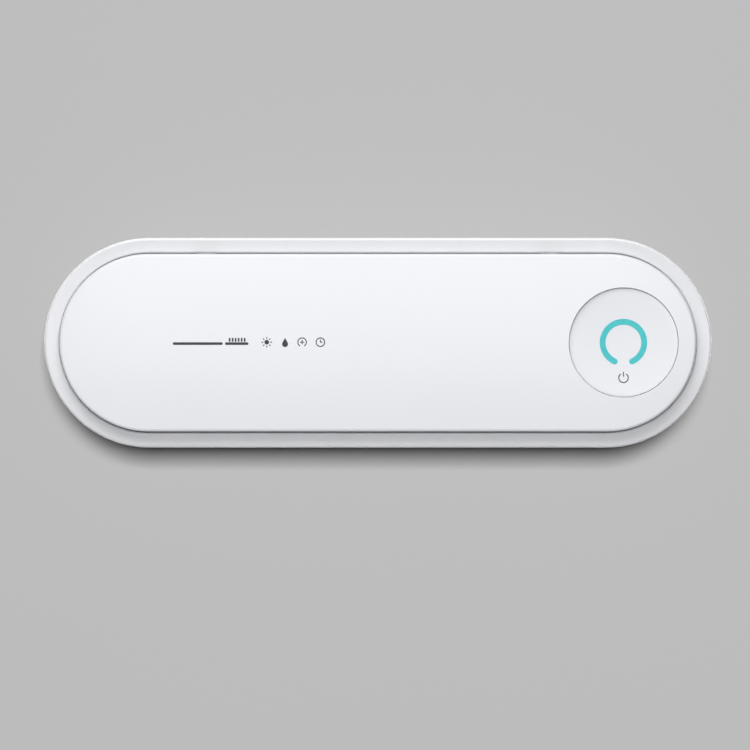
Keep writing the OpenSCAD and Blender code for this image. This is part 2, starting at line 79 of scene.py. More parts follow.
# Radii, widths and depths that the CAD shells are drawn with
CROWN_R = 250 * MM
COVER_EDGE_R = 1.2 * MM
RIM_WIDTH = 4.8 * MM
TUB_WALL = 2.2 * MM
BACK_EDGE_R = 4 * MM
RIM_EDGE_R = 0.9 * MM
LIP_EDGE_R = 0.6 * MM
BUTTON_R = 17.3 * MM
BUTTON_EDGE_R = 0.2 * MM
BUTTON_CLEARANCE = 0.12 * MM
DISH_DEPTH = 0.8 * MM
BUTTON_LAND = 0.7 * MM
DISH_R = BUTTON_R - BUTTON_LAND
DISH_SPHERE_R = (DISH_R ** 2 + DISH_DEPTH ** 2) / (2 * DISH_DEPTH)

# ---------------------------------------------------------------- materials


def node(tree, kind, **inputs):
    made = tree.nodes.new(kind)
    for key, value in inputs.items():
        made.inputs[key.replace("_", " ")].default_value = value
    return made


def material(name):
    mat = bpy.data.materials.new(name)
    mat.use_nodes = True
    return mat, mat.node_tree, mat.node_tree.nodes["Principled BSDF"]


def object_noise(tree, scale, detail=3.0):
    coords = tree.nodes.new("ShaderNodeTexCoord")
    noise = node(tree, "ShaderNodeTexNoise", Scale=scale, Detail=detail, Roughness=0.5)
    tree.links.new(coords.outputs["Object"], noise.inputs["Vector"])
    return noise.outputs["Fac"]


def ramp(tree, fac, low, high, start=0.3, end=0.7):
    """Colour that runs from low to high as fac goes from start to end."""
    ramp_node = tree.nodes.new("ShaderNodeValToRGB")
    stops = ramp_node.color_ramp.elements
    stops[0].position, stops[0].color = start, (*low, 1)
    stops[1].position, stops[1].color = end, (*high, 1)
    tree.links.new(fac, ramp_node.inputs["Fac"])
    return ramp_node.outputs["Color"]


def spread(tree, fac, low, high):
    """Number that runs from low to high over the middle of a noise."""
    scale = tree.nodes.new("ShaderNodeMapRange")
    scale.inputs["From Min"].default_value = 0.3
    scale.inputs["From Max"].default_value = 0.7
    scale.inputs["To Min"].default_value = low
    scale.inputs["To Max"].default_value = high
    tree.links.new(fac, scale.inputs["Value"])
    return scale.outputs["Result"]


def bump(tree, shader, height, distance):
    bump_node = node(tree, "ShaderNodeBump", Strength=1.0, Distance=distance)
    tree.links.new(height, bump_node.inputs["Height"])
    tree.links.new(bump_node.outputs["Normal"], shader.inputs["Normal"])


def plastic(name, color, rough, grain=1400, depth=0.004, shade=0.985, mottle=28, uneven=0.03,
            coat=0.0, scatter=0.0):
    """Moulded plastic: fine grain, faint flow mottling and slightly uneven gloss."""
    mat, tree, shader = material(name)
    dark = tuple(c * shade for c in color)
    flow = object_noise(tree, mottle, 4)
    tree.links.new(ramp(tree, flow, dark, color, 0.15, 0.85), shader.inputs["Base Color"])
    gloss = object_noise(tree, mottle * 6, 5)
    tree.links.new(spread(tree, gloss, rough - uneven, rough + uneven), shader.inputs["Roughness"])
    fine = object_noise(tree, grain, 3)
    bump(tree, shader, fine, depth * MM)
    shader.inputs["IOR"].default_value = 1.5
    shader.inputs["Coat Weight"].default_value = coat
    shader.inputs["Coat Roughness"].default_value = 0.12
    if scatter:
        shader.inputs["Subsurface Weight"].default_value = scatter
        shader.inputs["Subsurface Scale"].default_value = 0.0008
        shader.inputs["Subsurface Radius"].default_value = (1.0, 0.9, 0.8)
    return mat


def metal(name, color, rough, stretch=(1, 1, 1), scale=600, depth=0.003, spots=0.9):
    """Metal with drawn or rolled lines along the axis that stretch leaves long."""
    mat, tree, shader = material(name)
    coords = tree.nodes.new("ShaderNodeTexCoord")
    squeeze = tree.nodes.new("ShaderNodeMapping")
    squeeze.inputs["Scale"].default_value = stretch
    tree.links.new(coords.outputs["Object"], squeeze.inputs["Vector"])
    lines = node(tree, "ShaderNodeTexNoise", Scale=scale, Detail=4.0)
    tree.links.new(squeeze.outputs["Vector"], lines.inputs["Vector"])
    dark = tuple(c * spots for c in color)
    tree.links.new(ramp(tree, lines.outputs["Fac"], dark, color), shader.inputs["Base Color"])
    tree.links.new(spread(tree, lines.outputs["Fac"], rough * 0.8, rough * 1.25), shader.inputs["Roughness"])
    bump(tree, shader, lines.outputs["Fac"], depth * MM)
    shader.inputs["Metallic"].default_value = 1.0
    return mat


def rubber(name, color, rough=0.7, cells=2200, depth=0.02):
    """Silicone or foam: matt skin with small cells."""
    mat, tree, shader = material(name)
    coords = tree.nodes.new("ShaderNodeTexCoord")
    skin = node(tree, "ShaderNodeTexVoronoi", Scale=cells)
    tree.links.new(coords.outputs["Object"], skin.inputs["Vector"])
    dark = tuple(c * 0.9 for c in color)
    tree.links.new(ramp(tree, object_noise(tree, 160, 4), dark, color), shader.inputs["Base Color"])
    worn = object_noise(tree, 300)
    tree.links.new(spread(tree, worn, rough - 0.06, rough + 0.06), shader.inputs["Roughness"])
    bump(tree, shader, skin.outputs["Distance"], depth * MM)
    shader.inputs["Sheen Weight"].default_value = 0.15
    return mat


def clear(name, color, rough, ior=1.5, weight=1.0):
    """Clear glass or plastic with faint smears."""
    mat, tree, shader = material(name)
    tree.links.new(ramp(tree, object_noise(tree, 60, 4), tuple(c * 0.96 for c in color), color),
                   shader.inputs["Base Color"])
    smears = object_noise(tree, 220, 4)
    tree.links.new(spread(tree, smears, rough * 0.6, rough * 1.5), shader.inputs["Roughness"])
    shader.inputs["Transmission Weight"].default_value = weight
    shader.inputs["IOR"].default_value = ior
    return mat


def light_ring_material():
    """Translucent teal light guide, lit from behind, its colour and glow varying a little at random."""
    mat, tree, shader = material("ring_teal")
    glow = object_noise(tree, 420, 3)
    tree.links.new(ramp(tree, glow, (0.04, 0.465, 0.485), (0.055, 0.505, 0.52)), shader.inputs["Base Color"])
    tree.links.new(ramp(tree, glow, (0.03, 0.44, 0.47), (0.05, 0.53, 0.55)), shader.inputs["Emission Color"])
    tree.links.new(spread(tree, object_noise(tree, 500), 0.28, 0.36), shader.inputs["Roughness"])
    bump(tree, shader, object_noise(tree, 2000), 0.003 * MM)
    shader.inputs["Emission Strength"].default_value = 0.16
    shader.inputs["Subsurface Weight"].default_value = 0.25
    shader.inputs["Subsurface Scale"].default_value = 0.0012
    return mat


def board_material():
    """Green solder mask with buried tracks and a ground plane."""
    mat, tree, shader = material("board_green")
    coords = tree.nodes.new("ShaderNodeTexCoord")
    tracks = node(tree, "ShaderNodeTexVoronoi", Scale=420.0)
    tracks.feature, tracks.distance = "F1", "CHEBYCHEV"
    tree.links.new(coords.outputs["Object"], tracks.inputs["Vector"])
    mask = ramp(tree, tracks.outputs["Distance"], (0.004, 0.09, 0.035), (0.012, 0.19, 0.075), 0.25, 0.3)
    tree.links.new(mask, shader.inputs["Base Color"])
    bump(tree, shader, tracks.outputs["Distance"], 0.02 * MM)
    shader.inputs["Roughness"].default_value = 0.28
    return mat


def magnet_material():
    return metal("magnet_nickel", (0.62, 0.61, 0.58), 0.16, scale=900, depth=0.001)


WHITE = (0.84, 0.856, 0.892)
# The frame and back shell are the same white plastic as the cover; this darker copy of it is painted shade.
PAINTED_SHADE_WHITE = (0.78, 0.784, 0.806)
MATERIALS = {
    "shell_white": plastic("shell_white", WHITE, 0.3, uneven=0.004, coat=0.12, scatter=0.04),
    "button_white": plastic("button_white", (0.82, 0.835, 0.872), 0.34, uneven=0.006, scatter=0.04),
    "liner_white": plastic("liner_white", (0.74, 0.748, 0.76), 0.46, grain=900, depth=0.012),
    "bracket_plastic": plastic("bracket_plastic", (0.66, 0.672, 0.69), 0.5, grain=700, depth=0.02),
    "flap_grey": plastic("flap_grey", (0.47, 0.5, 0.53), 0.38, grain=900, depth=0.01),
    "part_black": plastic("part_black", (0.018, 0.018, 0.02), 0.45, grain=1600, depth=0.01, shade=0.8),
    "led_body": plastic("led_body", (0.8, 0.79, 0.62), 0.3, depth=0.002),
    "capacitor_sleeve": plastic("capacitor_sleeve", (0.012, 0.017, 0.05), 0.25, depth=0.004, shade=0.8),
    "transformer_tape": plastic("transformer_tape", (0.68, 0.42, 0.03), 0.22, mottle=300, shade=0.85),
    "connector_ivory": plastic("connector_ivory", (0.76, 0.7, 0.55), 0.42, depth=0.006),
    "light_ring": light_ring_material(),
    "clear_window": clear("clear_window", (0.9, 0.94, 0.95), 0.12, 1.49, 0.85),
    "lamp_glass": clear("lamp_glass", (0.95, 0.98, 1.0), 0.02, 1.46),
    "silicone": rubber("silicone", (0.74, 0.75, 0.75), 0.55, depth=0.006),
    "lead_white": rubber("lead_white", (0.76, 0.76, 0.72), 0.4, depth=0.003),
    "pad_foam": rubber("pad_foam", (0.52, 0.54, 0.56), 0.85, cells=1500, depth=0.08),
    "bright_aluminium": metal("bright_aluminium", (0.58, 0.59, 0.6), 0.32, (0.03, 1, 1), 2600, 0.0006, 0.96),
    "screw_steel": metal("screw_steel", (0.56, 0.56, 0.57), 0.3, scale=1500),
    "rod_steel": metal("rod_steel", (0.6, 0.6, 0.61), 0.18, (0.08, 1, 1), 2500),
    "spring_steel": metal("spring_steel", (0.5, 0.5, 0.51), 0.24, scale=2500),
    "socket_steel": metal("socket_steel", (0.6, 0.6, 0.61), 0.22, (1, 0.1, 1), 1800),
    "magnet_nickel": magnet_material(),
    "board_green": board_material(),
}
# Darker copy of the shell white for the frame and back shell: painted shade.
PAINTED_SHADE_PLASTIC = plastic("frame_and_tub_white_painted_shade", PAINTED_SHADE_WHITE, 0.32, uneven=0.006, coat=0.08, scatter=0.04)
# The seal is a soft bead round the cover; its dark grey is painted shade that darkens the gap between the
# cover and the rim.
SEAL_PAINTED_GAP_SHADE = rubber("seal_grey_painted_gap_shade", (0.36, 0.36, 0.36), 0.6, depth=0.004)
INK = plastic("print_ink", (0.045, 0.046, 0.05), 0.5, depth=0.002, shade=0.9)

slot_of = {row["node"]: row["material_slot"] for row in frame["record"]["subparts"]}
body_of = {name: body for body, names in frame["record"]["behaviour"]["bodies"].items() for name in names}


def dress(obj, mat):
    """Gives every material slot of obj the one material, without touching its mesh."""
    if not obj.material_slots:
        obj.data.materials.append(mat)
    for s in obj.material_slots:
        s.link = "OBJECT"
        s.material = mat


for name, obj in frame["nodes"].items():
    dress(obj, MATERIALS[slot_of[name]])

# ---------------------------------------------------------------- mesh helpers

# Edges whose faces turn by more than this are rounded
HARD_EDGE = math.radians(50)
# How near a point must be to count as on an arc, or as on the edge of the button's hole
ON_ARC = 0.04 * MM
NEAR_EDGE = 0.03 * MM
# Least cosine between the true normal and the face's for the true one to be used: on an arc, and elsewhere
SAME_WAY = 0.93
ALMOST_SAME = 0.985


def piece(name, bm, slot, body, replaces=(), mat=None):
    """Turns a bmesh into a piece of the object."""
    mesh = bpy.data.meshes.new(name)
    bm.normal_update()
    bm.to_mesh(mesh)
    bm.free()
    obj = bpy.data.objects.new(name, mesh)
    bpy.context.scene.collection.objects.link(obj)
    mesh.materials.append(mat or MATERIALS[slot])
    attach(obj, body)
    if replaces:
        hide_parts(*replaces)
    return obj


def cad_bmesh(name):
    """The CAD node's mesh, welded, with flat stretches as single faces."""
    bm = bmesh.new()
    bm.from_mesh(frame["nodes"][name].data)
    for layer in list(bm.loops.layers.float_vector.values()):
        bm.loops.layers.float_vector.remove(layer)
    bmesh.ops.remove_doubles(bm, verts=bm.verts, dist=3e-7)
    bmesh.ops.dissolve_limit(bm, angle_limit=math.radians(0.03), verts=bm.verts, edges=bm.edges)
    return bm


def soften(bm, width):
    """Rounds the hard edges that are longer than the rounding is wide."""
    hard = [e for e in bm.edges if len(e.link_faces) == 2 and e.calc_face_angle(0) > HARD_EDGE
            and e.calc_length() > width]
    if hard:
        bmesh.ops.bevel(bm, geom=hard, offset=width, offset_type="OFFSET", segments=2, profile=0.6,
                        affect="EDGES", clamp_overlap=True)


def shade(obj, angle=32, exact=None):
    """Smooth shading with hard edges kept, and true normals where exact(point, face normal) gives one."""
    mesh = obj.data
    mesh.shade_smooth()
    mesh.set_sharp_from_angle(angle=math.radians(angle))
    weigh = obj.modifiers.new("weigh", "WEIGHTED_NORMAL")
    weigh.keep_sharp = True
    weigh.mode = "FACE_AREA_WITH_ANGLE"
    bpy.context.view_layer.update()
    solved = obj.evaluated_get(bpy.context.evaluated_depsgraph_get()).to_mesh()
    normals = [Vector(n.vector) for n in solved.corner_normals]
    obj.evaluated_get(bpy.context.evaluated_depsgraph_get()).to_mesh_clear()
    obj.modifiers.remove(weigh)
    if exact:
        for face in mesh.polygons:
            for corner in face.loop_indices:
                point = mesh.vertices[mesh.loops[corner].vertex_index].co
                true = exact(point, face.normal)
                if true is not None:
                    normals[corner] = true
    mesh.normals_split_custom_set(normals)
    return obj


def pill_normals(arcs):
    """Normals of a shell swept round the pill; arcs lists its (distance from spine, out, radius)."""
    def normal(point, face_normal):
        spine = max(-HALF_STRAIGHT, min(HALF_STRAIGHT, point.x))
        side = Vector((point.x - spine, 0, point.z))
        reach = side.length
        side = side.normalized() if reach > 1e-7 else Vector((0, 0, 1))
        out = -point.y
        for centre_r, centre_out, radius in arcs:
            away = Vector((reach - centre_r, out - centre_out))
            if abs(away.length - radius) < ON_ARC:
                true = (side * away.x + Vector((0, -away.y, 0))).normalized()
                if abs(true.dot(face_normal)) > SAME_WAY:
                    return true if true.dot(face_normal) > 0 else -true
        forward = -face_normal.y
        lateral = math.sqrt(max(0.0, 1 - forward * forward))
        if face_normal.dot(side) < 0:
            lateral = -lateral
        true = side * lateral + Vector((0, -forward, 0))
        return true.normalized() if true.dot(face_normal) > ALMOST_SAME else None
    return normal


def button_normals(arcs):
    """The same for a shape turned about the button's axis."""
    def normal(point, face_normal):
        side = Vector((point.x - BUTTON_X, 0, point.z))
        reach = side.length
        side = side.normalized() if reach > 1e-7 else Vector((0, 0, 1))
        for centre_r, centre_out, radius in arcs:
            away = Vector((reach - centre_r, -point.y - centre_out))
            if abs(away.length - radius) < ON_ARC:
                true = (side * away.x + Vector((0, -away.y, 0))).normalized()
                if abs(true.dot(face_normal)) > SAME_WAY:
                    return true if true.dot(face_normal) > 0 else -true
        return None
    return normal


def tube_mesh(bm, points, radius, sides=12):
    """Sweeps a round wire along points, turning its frame as little as possible."""
    rings = []
    up = Vector((0.3, 0.5, 0.8))
    for i, p in enumerate(points):
        ahead = (points[min(i + 1, len(points) - 1)] - points[max(i - 1, 0)]).normalized()
        across = (up - ahead * up.dot(ahead)).normalized()
        up = across
        other = ahead.cross(across)
        rings.append([bm.verts.new(p + radius * (math.cos(a) * across + math.sin(a) * other))
                      for a in (TAU * k / sides for k in range(sides))])
    for lower, upper in zip(rings, rings[1:]):
        for k in range(sides):
            n = (k + 1) % sides
            bm.faces.new((lower[k], lower[n], upper[n], upper[k]))
    bm.faces.new(list(reversed(rings[0])))
    bm.faces.new(rings[-1])


def rounded_route(corners, bend, steps=6):
    """Points along a route of straight stretches with round bends."""
    points = [corners[0]]
    for before, at, after in zip(corners, corners[1:], corners[2:]):
        near = min(bend, (at - before).length / 2.2, (after - at).length / 2.2)
        start = at + (before - at).normalized() * near
        end = at + (after - at).normalized() * near
        for k in range(steps + 1):
            t = k / steps
            points.append(start * (1 - t) ** 2 + at * 2 * t * (1 - t) + end * t ** 2)
    points.append(corners[-1])
    return points


def prism(bm, outline, low, high):
    """Thin solid over an outline of (across, up); low and high give its faces' distance from the wall."""
    bottom = [bm.verts.new((x, -low(x, z), z)) for x, z in outline]
    top = [bm.verts.new((x, -high(x, z), z)) for x, z in outline]
    bm.faces.new(bottom)
    bm.faces.new(list(reversed(top)))
    count = len(outline)
    for k in range(count):
        n = (k + 1) % count
        bm.faces.new((bottom[n], bottom[k], top[k], top[n]))


# ---------------------------------------------------------------- shells

crown_centre = (0.0, COVER_FRONT - CROWN_R, CROWN_R)
edge_out = crown_centre[1] + math.sqrt((CROWN_R - COVER_EDGE_R) ** 2 - (COVER_R - COVER_EDGE_R) ** 2)
cover_edge = (COVER_R - COVER_EDGE_R, edge_out, COVER_EDGE_R)


def crown_height(x, z):
    """Distance from the wall to the cover's face."""
    spine = max(-HALF_STRAIGHT, min(HALF_STRAIGHT, x))
    return crown_centre[1] + math.sqrt(CROWN_R ** 2 - (x - spine) ** 2 - z ** 2)


def dish_height(x, z):
    """Distance from the wall to the button's dished face."""
    reach = (x - BUTTON_X) ** 2 + z ** 2
    return BUTTON_FACE - DISH_DEPTH + DISH_SPHERE_R - math.sqrt(DISH_SPHERE_R ** 2 - reach)


def on_button_hole(edge):
    """True on the rim where the button's hole breaks through the cover's face."""
    for v in edge.verts:
        reach = math.hypot(v.co.x - BUTTON_X, v.co.z)
        if abs(reach - BUTTON_R - BUTTON_CLEARANCE) > NEAR_EDGE:
            return False
        if abs(-v.co.y - crown_height(v.co.x, v.co.z)) > NEAR_EDGE:
            return False
    return True


HOLE_ROUNDING = 0.25 * MM
bm = cad_bmesh("front_cover")
rim = [e for e in bm.edges if on_button_hole(e)]
bmesh.ops.bevel(bm, geom=rim, offset=HOLE_ROUNDING, offset_type="OFFSET", segments=3, profile=0.5,
                affect="EDGES", clamp_overlap=False)
cover_shell = piece("cover_shell", bm, "shell_white", "cover", ["front_cover"])
shade(cover_shell, exact=pill_normals([crown_centre, cover_edge]))

bm = cad_bmesh("front_frame")
# The frame shell takes the darker copy of the white: painted shade.
frame_shell = piece("frame_shell", bm, "shell_white", "housing", ["front_frame"], PAINTED_SHADE_PLASTIC)
shade(frame_shell, exact=pill_normals([
    (BODY_R - RIM_EDGE_R, RIM_FRONT - RIM_EDGE_R, RIM_EDGE_R),
    (-frame_low.x - HALF_STRAIGHT - RIM_WIDTH + LIP_EDGE_R, RIM_FRONT - LIP_EDGE_R, LIP_EDGE_R)]))

bm = cad_bmesh("rear_housing")
# The back shell takes the darker copy of the white: painted shade.
tub_shell = piece("tub_shell", bm, "shell_white", "housing", ["rear_housing"], PAINTED_SHADE_PLASTIC)
shade(tub_shell, exact=pill_normals([
    (BODY_R - BACK_EDGE_R, BACK_OUT + BACK_EDGE_R, BACK_EDGE_R),
    (BODY_R - BACK_EDGE_R, BACK_OUT + BACK_EDGE_R, BACK_EDGE_R - TUB_WALL)]))

bm = cad_bmesh("power_button")
button_cap = piece("button_cap", bm, "button_white", "button", ["power_button"])
shade(button_cap, exact=button_normals([
    (0.0, BUTTON_FACE - DISH_DEPTH + DISH_SPHERE_R, DISH_SPHERE_R),
    (BUTTON_R - BUTTON_EDGE_R, BUTTON_FACE - BUTTON_EDGE_R, BUTTON_EDGE_R)]))

bm = cad_bmesh("ring_lens")
soften(bm, 0.12 * MM)
shade(piece("ring_light", bm, "light_ring", "button", ["ring_lens"]))

for name, width in (("wall_bracket", 0.25), ("adhesive_pads", 0.2), ("brush_rack", 0.15),
                    ("inner_panel", 0.15), ("electronics_cover", 0.2), ("flap_1", 0.2), ("flap_2", 0.2),
                    ("flap_3", 0.2), ("flap_4", 0.2), ("flap_5", 0.2), ("lamp_boots", 0.5),
                    ("lamp_clips", 0.08)):
    bm = cad_bmesh(name)
    soften(bm, width * MM)
    shade(piece(name + "_moulded", bm, slot_of[name], body_of[name], [name]))

# ---------------------------------------------------------------- soft seal round the cover, its dark grey painted gap shade


def pill_path(r):
    """Points at r from the pill's spine, with outward directions, clockwise from top right to top left."""
    steps = 48
    path = []
    for side in (1, -1):
        for k in range(steps + 1):
            turn = side * math.pi / 2 - math.pi * k / steps
            away = Vector((math.cos(turn), 0, math.sin(turn)))
            path.append((Vector((side * HALF_STRAIGHT, 0, 0)) + away * r, away))
    return path


def sweep_section(bm, path, section):
    """Closed solid along an open path; section lists (away from the spine, out) offsets."""
    rings = [[bm.verts.new(p + away * a + Vector((0, -out, 0))) for a, out in section] for p, away in path]
    for lower, upper in zip(rings, rings[1:]):
        for k in range(len(section)):
            n = (k + 1) % len(section)
            bm.faces.new((lower[k], lower[n], upper[n], upper[k]))
    bm.faces.new(list(reversed(rings[0])))
    bm.faces.new(rings[-1])


HINGE_X = 55 * MM
CLEAR_OF_ARM = 4.2 * MM
# The seal's section, in mm: away from the cover's side, and out from the wall about SEAL_OUT
SEAL_OUT = 34.9
SEAL_SECTION = [(a * MM, (SEAL_OUT + b) * MM) for a, b in
                ((-0.05, -0.4), (0.25, -0.35), (0.38, -0.15), (0.38, 0.15), (0.25, 0.35), (-0.05, 0.4))]
bm = bmesh.new()
across = Vector((0, 0, 1))
arm_gap = HINGE_X + CLEAR_OF_ARM
between = HINGE_X - CLEAR_OF_ARM
sweep_section(bm, [(Vector((x, 0, COVER_R)), across) for x in (-between, between)], SEAL_SECTION)
around = [(Vector((arm_gap, 0, COVER_R)), across)] + pill_path(COVER_R)
around.append((Vector((-arm_gap, 0, COVER_R)), across))
sweep_section(bm, around, SEAL_SECTION)
bmesh.ops.recalc_face_normals(bm, faces=bm.faces)
# The seal's dark grey is painted shade in the gap between the cover and the rim.
shade(piece("cover_seal", bm, "silicone", "cover", mat=SEAL_PAINTED_GAP_SHADE), 60)

# ---------------------------------------------------------------- wire work and the lamp


def coil_points(centre, axis, radius, turns, length, steps=20):
    """Helix about an axis through centre, starting at centre."""
    axis = axis.normalized()
    across = axis.orthogonal().normalized()
    other = axis.cross(across)
    count = int(turns * steps)
    return [centre + axis * length * k / count
            + radius * (math.cos(TAU * k / steps) * across + math.sin(TAU * k / steps) * other)
            for k in range(count + 1)]


FLAPS = 5
FLAP_SPRING_GAP = 0.45 * MM
FLAP_COIL_R = 1.05 * MM
FLAP_COIL_TURNS = 6
FLAP_COIL_LENGTH = 1.9 * MM
FLAP_WIRE_R = 0.15 * MM
rod_axis = (rod_low + rod_high) / 2
bm = bmesh.new()
for i in range(FLAPS):
    flap_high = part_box("flap_%d" % (i + 1))[1]
    start = Vector((flap_high.x + FLAP_SPRING_GAP, rod_axis.y, rod_axis.z))
    coil = coil_points(start, Vector((1, 0, 0)), FLAP_COIL_R, FLAP_COIL_TURNS, FLAP_COIL_LENGTH)
    tube_mesh(bm, coil, FLAP_WIRE_R, 8)
shade(piece("flap_spring_coils", bm, "spring_steel", "housing", ["flap_springs"]))

# The CAD spring has the height it has with the button pressed. At rest it is longer by the travel.
low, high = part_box("button_spring")
pressed_height = high.y - low.y
rest_height = pressed_height + BUTTON_TRAVEL
bm = bmesh.new()
wire = 0.35 * MM
coil_r = 14.2 * MM
coil_turns = 2.5
coil = coil_points(Vector((BUTTON_X, high.y - wire, 0)), Vector((0, -1, 0)), coil_r, coil_turns,
                   rest_height - 2 * wire, 48)
tube_mesh(bm, coil, wire, 8)
button_coil = shade(piece("button_spring_coil", bm, "spring_steel", "cover", ["button_spring"]))
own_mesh(button_coil)

LEAD_R = 0.78 * MM
LEAD_BEND = 2.5 * MM
LEADS = {
    "lamp_lead_far": [(-66, 13, 14.5), (-74, 13, 14.5), (-74, 21, 14.5), (-74, 21, 6.9),
                      (75.5, 21, 6.9), (75.5, 21, 23.5), (75.5, 15, 23.5)],
    "lamp_lead_near": [(51, 13, 14.5), (60.5, 13, 14.5), (60.5, 13, 23.5), (60.5, 20, 23.5),
                       (72.5, 20, 23.5), (72.5, 15, 23.5)],
}
for name, route in LEADS.items():
    corners = [Vector((x, -out, z)) * MM for x, z, out in route]
    bm = bmesh.new()
    tube_mesh(bm, rounded_route(corners, LEAD_BEND), LEAD_R, 12)
    shade(piece(name + "_wire", bm, "lead_white", "housing", [name]))

lamp_axis = (lamp_low + lamp_high) / 2
lamp_r = (lamp_high.z - lamp_low.z) / 2
bm = bmesh.new()
ends = [lamp_low.x, lamp_high.x]
profile = [(ends[0] + lamp_r * (1 - math.cos(a)), lamp_r * math.sin(a))
           for a in (math.pi / 2 * k / 8 for k in range(1, 9))]
profile += [(ends[0] + (ends[1] - ends[0]) * t, lamp_r) for t in (0.2, 0.4, 0.6, 0.8)]
profile += [(ends[1] - lamp_r * (1 - math.sin(a)), lamp_r * math.cos(a))
            for a in (math.pi / 2 * k / 8 for k in range(0, 8))]


def lathe_x(bm, rows, sides=40):
    """Closed shell turned about the lamp's axis from (x, radius) rows."""
    rings = [[bm.verts.new((x, lamp_axis.y + r * math.cos(a), lamp_axis.z + r * math.sin(a)))
              for a in (TAU * k / sides for k in range(sides))] for x, r in rows]
    for lower, upper in zip(rings, rings[1:]):
        for k in range(sides):
            n = (k + 1) % sides
            bm.faces.new((lower[k], lower[n], upper[n], upper[k]))
    bm.faces.new(list(reversed(rings[0])))
    bm.faces.new(rings[-1])


lathe_x(bm, profile)
bore = 0.45 * MM
lathe_x(bm, [(ends[0] + 1 * MM, 0.8 * MM), (ends[0] + 2 * MM, lamp_r - bore),
             (ends[1] - 2 * MM, lamp_r - bore), (ends[1] - 1 * MM, 0.8 * MM)][::-1])
bmesh.ops.recalc_face_normals(bm, faces=bm.faces)
shade(piece("lamp_tube", bm, "lamp_glass", "housing", ["uv_lamp"]), 50)

bm = bmesh.new()
for side, x in ((1, ends[0] + 3 * MM), (-1, ends[1] - 3 * MM)):
    foot = Vector((x, lamp_axis.y, lamp_axis.z))
    tube_mesh(bm, [foot, foot + Vector((side * 7 * MM, 0, 0))], 0.35 * MM, 10)
    cup = foot + Vector((side * 7.2 * MM, 0, 0))
    tube_mesh(bm, coil_points(cup, Vector((side, 0, 0)), 1.1 * MM, 5, 4 * MM, 16), 0.16 * MM, 6)
shade(piece("lamp_electrodes", bm, "spring_steel", "housing"))

# ---------------------------------------------------------------- printed marks


def circle(cx, cz, r, steps=24, start=0.0, sweep=TAU):
    count = steps if abs(sweep - TAU) < 1e-6 else steps + 1
    return [(cx + r * math.cos(start + sweep * k / steps), cz + r * math.sin(start + sweep * k / steps))
            for k in range(count)]


def stadium(x0, x1, cz, r, steps=10):
    return (circle(x1 - r, cz, r, steps, -math.pi / 2, math.pi)
            + circle(x0 + r, cz, r, steps, math.pi / 2, math.pi))


def arc_band(cx, cz, r, width, start, sweep, steps=28):
    outer = circle(cx, cz, r + width / 2, steps, start, sweep)
    inner = circle(cx, cz, r - width / 2, steps, start, sweep)
    return outer + inner[::-1]


def box_outline(x0, z0, x1, z1):
    return [(x0, z0), (x1, z0), (x1, z1), (x0, z1)]


def turned(outline, cx, cz, angle):
    c, s = math.cos(angle), math.sin(angle)
    return [(cx + (x - cx) * c - (z - cz) * s, cz + (x - cx) * s + (z - cz) * c) for x, z in outline]


def printed(name, outlines, surface, body):
    """Ink marks a hair proud of a surface."""
    bm = bmesh.new()
    for outline in outlines:
        points = [(x * MM, z * MM) for x, z in outline]
        prism(bm, points, lambda x, z: surface(x, z) - 0.02 * MM, lambda x, z: surface(x, z) + 0.015 * MM)
    bmesh.ops.recalc_face_normals(bm, faces=bm.faces)
    return piece(name, bm, "part_black", body, mat=INK)


def brush_icon(x, z, length):
    """A toothbrush lying on its back, bristles up."""
    stem = z - 0.35
    shapes = [stadium(x, x + length * 0.66, stem, 0.42), stadium(x + length * 0.69, x + length, stem, 0.42)]
    for k in range(6):
        tuft = x + length * 0.74 + k * 0.95
        shapes.append(box_outline(tuft, z + 0.25, tuft + 0.55, z + 1.45))
    return shapes


def drop_icon(x, z, r):
    tip = (x, z + r * 2.1)
    return [circle(x, z, r, 20, math.radians(150), math.radians(240)) + [tip]]


def sun_icon(x, z, r):
    ray = box_outline(x + r * 1.45, z - 0.16, x + r * 2.2, z + 0.16)
    return [circle(x, z, r)] + [turned(ray, x, z, TAU * k / 8) for k in range(8)]


def shield_icon(x, z, r):
    return [arc_band(x, z, r, 0.32, math.radians(-60), math.radians(300)),
            box_outline(x - 0.16, z - r * 0.5, x + 0.16, z + r * 0.5),
            box_outline(x - r * 0.5, z - 0.16, x - 0.2, z + 0.16),
            box_outline(x + 0.2, z - 0.16, x + r * 0.5, z + 0.16)]


def timer_icon(x, z, r):
    return [arc_band(x, z, r, 0.32, 0, TAU - 0.02), box_outline(x - 0.15, z - 0.1, x + 0.15, z + r * 0.65),
            box_outline(x, z - 0.15, x + r * 0.5, z + 0.15)]


def power_icon(x, z, r):
    return [arc_band(x, z, r, 0.34, math.radians(125), math.radians(290)),
            box_outline(x - 0.17, z + r * 0.25, x + 0.17, z + r * 1.25)]


caption = brush_icon(-65, 0, 24) + sun_icon(-35.2, 0.1, 0.75) + drop_icon(-29.4, -0.5, 0.95)
caption += shield_icon(-24.0, 0.1, 1.35) + timer_icon(-18.2, 0.1, 1.35)
printed("cover_print", caption, crown_height, "cover")
printed("button_print", power_icon(BUTTON_X / MM, -11.2, 1.5), dish_height, "button")

# ---------------------------------------------------------------- studio

scene = bpy.context.scene
scene.view_settings.view_transform = "Standard"
scene.view_settings.look = "None"

WALL_GREY = (0.12, 0.12, 0.12)
WALL_GLOW = 0.015
FLOOR_Z = -0.14
ROOM = 3.0


